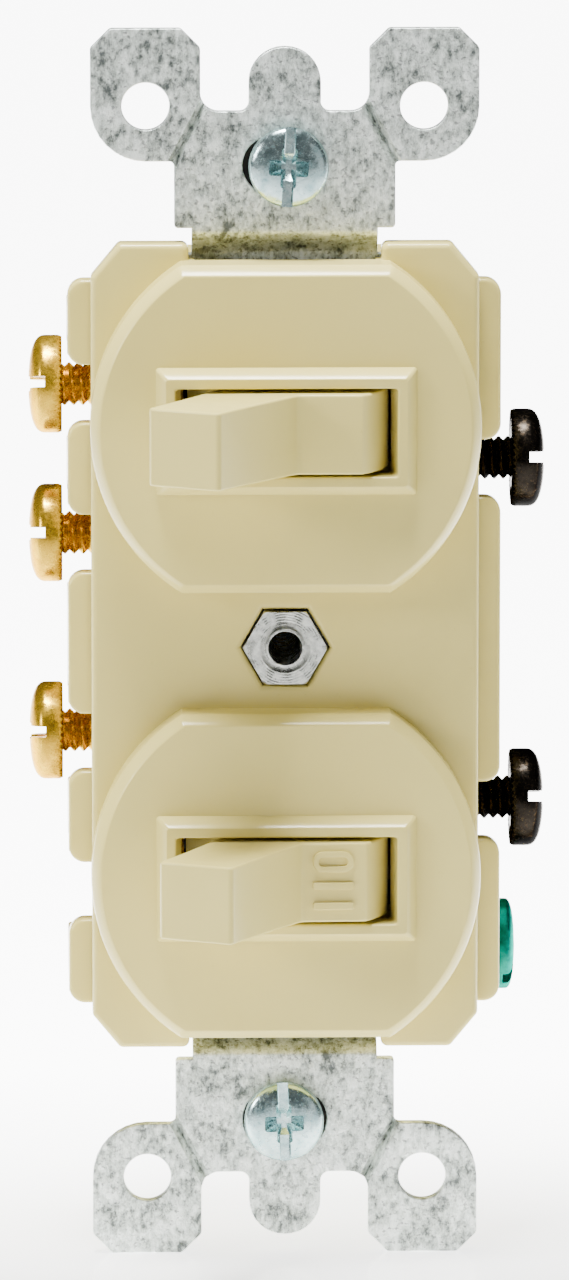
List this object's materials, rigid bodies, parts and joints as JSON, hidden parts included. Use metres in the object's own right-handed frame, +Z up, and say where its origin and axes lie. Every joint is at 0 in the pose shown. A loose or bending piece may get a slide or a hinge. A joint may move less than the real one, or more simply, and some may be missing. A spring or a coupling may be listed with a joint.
{
  "type": "duplex toggle wall switch",
  "caption": "Duplex toggle wall switch: two lever switches one above the other in an ivory body on a zinc-plated steel mounting strap, with side screw terminals.",
  "frame": {"origin": "midway between the two mounting screws, on the wall plane that the backs of the plaster ears rest on", "axes": "+X to the right seen from the front, +Z up, +Y into the wall, so the front faces -Y"},
  "size_m": [0.0449, 0.0441, 0.107],
  "materials": {
    "ivory_plastic": "satin moulding",
    "galvanised_steel": "mottled zinc plating",
    "zinc_steel": "bright zinc",
    "brass": "bright",
    "black_oxide_steel": "black oxide",
    "green_steel": "green dyed zinc",
    "spring_steel": "polished",
    "silver_contact": "silver",
    "phenolic": "moulded",
    "black_fibre": "pressed fibre"
  },
  "bodies": {
    "housing": {"yoke": "galvanised_steel", "cover": "ivory_plastic", "base": "ivory_plastic", "upper_traveller_terminal_a": "brass", "upper_traveller_terminal_b": "brass", "upper_common_terminal": "brass", "lower_line_terminal": "brass", "lower_common_terminal": "brass", "upper_fixed_contact_left": "silver_contact", "upper_fixed_contact_right": "silver_contact", "lower_fixed_contact_left": "silver_contact", "upper_retaining_washer": "black_fibre", "lower_retaining_washer": "black_fibre", "center_post": "zinc_steel", "upper_left_rivet": "zinc_steel", "upper_right_rivet": "zinc_steel", "lower_left_rivet": "zinc_steel", "lower_right_rivet": "zinc_steel"},
    "upper_toggle": {"upper_toggle": "ivory_plastic", "upper_spring": "spring_steel"},
    "lower_toggle": {"lower_toggle": "ivory_plastic", "lower_spring": "spring_steel"},
    "upper_plunger": {"upper_plunger": "spring_steel"},
    "lower_plunger": {"lower_plunger": "spring_steel"},
    "upper_rocker": {"upper_rocker": "phenolic", "upper_moving_contact_left": "silver_contact", "upper_moving_contact_right": "silver_contact"},
    "lower_rocker": {"lower_rocker": "phenolic", "lower_moving_contact_left": "silver_contact"},
    "upper_brass_screw_a": {"upper_brass_screw_a": "brass"},
    "upper_brass_screw_b": {"upper_brass_screw_b": "brass"},
    "lower_brass_screw": {"lower_brass_screw": "brass"},
    "upper_black_screw": {"upper_black_screw": "black_oxide_steel"},
    "lower_black_screw": {"lower_black_screw": "black_oxide_steel"},
    "green_ground_screw": {"green_ground_screw": "green_steel"},
    "upper_mounting_screw": {"upper_mounting_screw": "zinc_steel"},
    "lower_mounting_screw": {"lower_mounting_screw": "zinc_steel"}
  },
  "joints": [
    {"name": "upper_toggle_swing", "type": "hinge", "parent": "housing", "child": "upper_toggle", "pos_m": [0, -0.003, 0.01945], "axis": [0, 0, 1], "range_deg": [0, 62]},
    {"name": "lower_toggle_swing", "type": "hinge", "parent": "housing", "child": "lower_toggle", "pos_m": [0, -0.003, -0.01945], "axis": [0, 0, 1], "range_deg": [0, 55]},
    {"name": "upper_plunger_press", "type": "slide", "parent": "upper_toggle", "child": "upper_plunger", "axis": [-0.515, -0.8572, 0], "range_m": [0, 0.0008], "stiffness_N_per_m": 600, "deforming": ["upper_spring"]},
    {"name": "lower_plunger_press", "type": "slide", "parent": "lower_toggle", "child": "lower_plunger", "axis": [-0.4617, -0.887, 0], "range_m": [0, 0.0008], "stiffness_N_per_m": 600, "deforming": ["lower_spring"]},
    {"name": "upper_rocker_tilt", "type": "hinge", "parent": "housing", "child": "upper_rocker", "pos_m": [0, 0.0112, 0.01945], "axis": [0, 0, 1], "range_deg": [-16, 0]},
    {"name": "lower_rocker_tilt", "type": "hinge", "parent": "housing", "child": "lower_rocker", "pos_m": [0, 0.0112, -0.01945], "axis": [0, 0, 1], "range_deg": [-16, 0]},
    {"name": "upper_brass_screw_a_tighten", "type": "slide", "parent": "housing", "child": "upper_brass_screw_a", "axis": [1, 0, 0], "range_m": [0, 0.0033]},
    {"name": "upper_brass_screw_b_tighten", "type": "slide", "parent": "housing", "child": "upper_brass_screw_b", "axis": [1, 0, 0], "range_m": [0, 0.0033]},
    {"name": "lower_brass_screw_tighten", "type": "slide", "parent": "housing", "child": "lower_brass_screw", "axis": [1, 0, 0], "range_m": [0, 0.0033]},
    {"name": "upper_black_screw_tighten", "type": "slide", "parent": "housing", "child": "upper_black_screw", "axis": [-1, 0, 0], "range_m": [0, 0.004]},
    {"name": "lower_black_screw_tighten", "type": "slide", "parent": "housing", "child": "lower_black_screw", "axis": [-1, 0, 0], "range_m": [0, 0.004]},
    {"name": "green_ground_screw_tighten", "type": "slide", "parent": "housing", "child": "green_ground_screw", "axis": [-1, 0, 0], "range_m": [0, 0.0014]},
    {"name": "upper_mounting_screw_lift", "type": "slide", "parent": "housing", "child": "upper_mounting_screw", "axis": [0, -1, 0], "range_m": [0, 0.006]},
    {"name": "lower_mounting_screw_lift", "type": "slide", "parent": "housing", "child": "lower_mounting_screw", "axis": [0, -1, 0], "range_m": [0, 0.006]}
  ],
  "couplings": [
    {"joint": "upper_rocker_tilt", "follows": "upper_toggle_swing", "ratio": -0.25806},
    {"joint": "lower_rocker_tilt", "follows": "lower_toggle_swing", "ratio": -0.2909}
  ]
}
